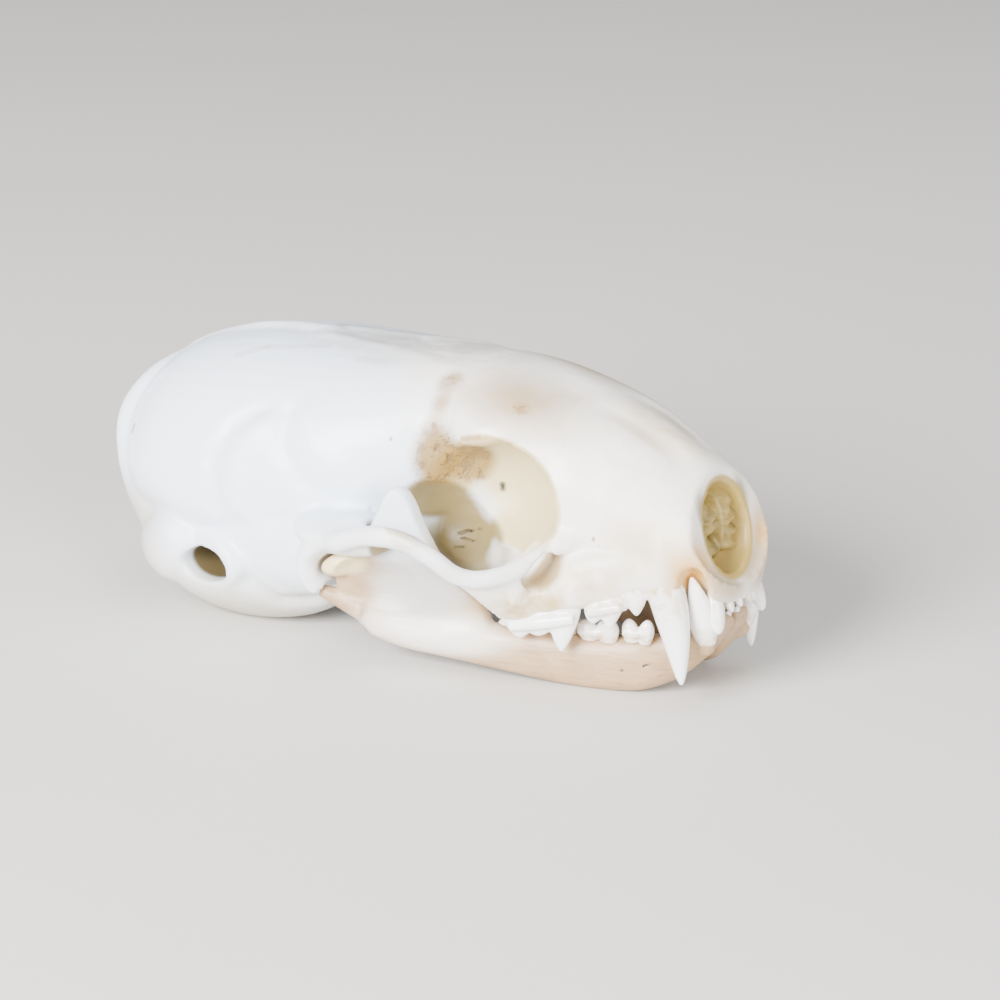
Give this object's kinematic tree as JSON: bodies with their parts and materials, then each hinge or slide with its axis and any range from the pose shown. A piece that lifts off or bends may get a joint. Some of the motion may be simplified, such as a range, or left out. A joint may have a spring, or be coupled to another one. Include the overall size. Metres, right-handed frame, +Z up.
{
  "type": "weasel skull",
  "caption": "Life-size weasel skull resting closed on its lower jaws and ear capsules, with cheek arches, open orbits and teeth shown.",
  "frame": {"origin": "middle of the skull's bounding box, at the level it rests on", "axes": "+X forward to the snout, +Y to the animal's left, +Z up"},
  "size_m": [0.0438, 0.0238, 0.0178],
  "materials": {
    "cranium_bone": "cleaned bone, smooth and softly shining, blue-white braincase and cream face",
    "jaw_bone": "cleaned bone, smooth, pinkish cream with faint grain"
  },
  "bodies": {
    "root": {"cranium": "cranium_bone", "mandible_right": "jaw_bone", "mandible_left": "jaw_bone"}
  },
  "joints": []
}
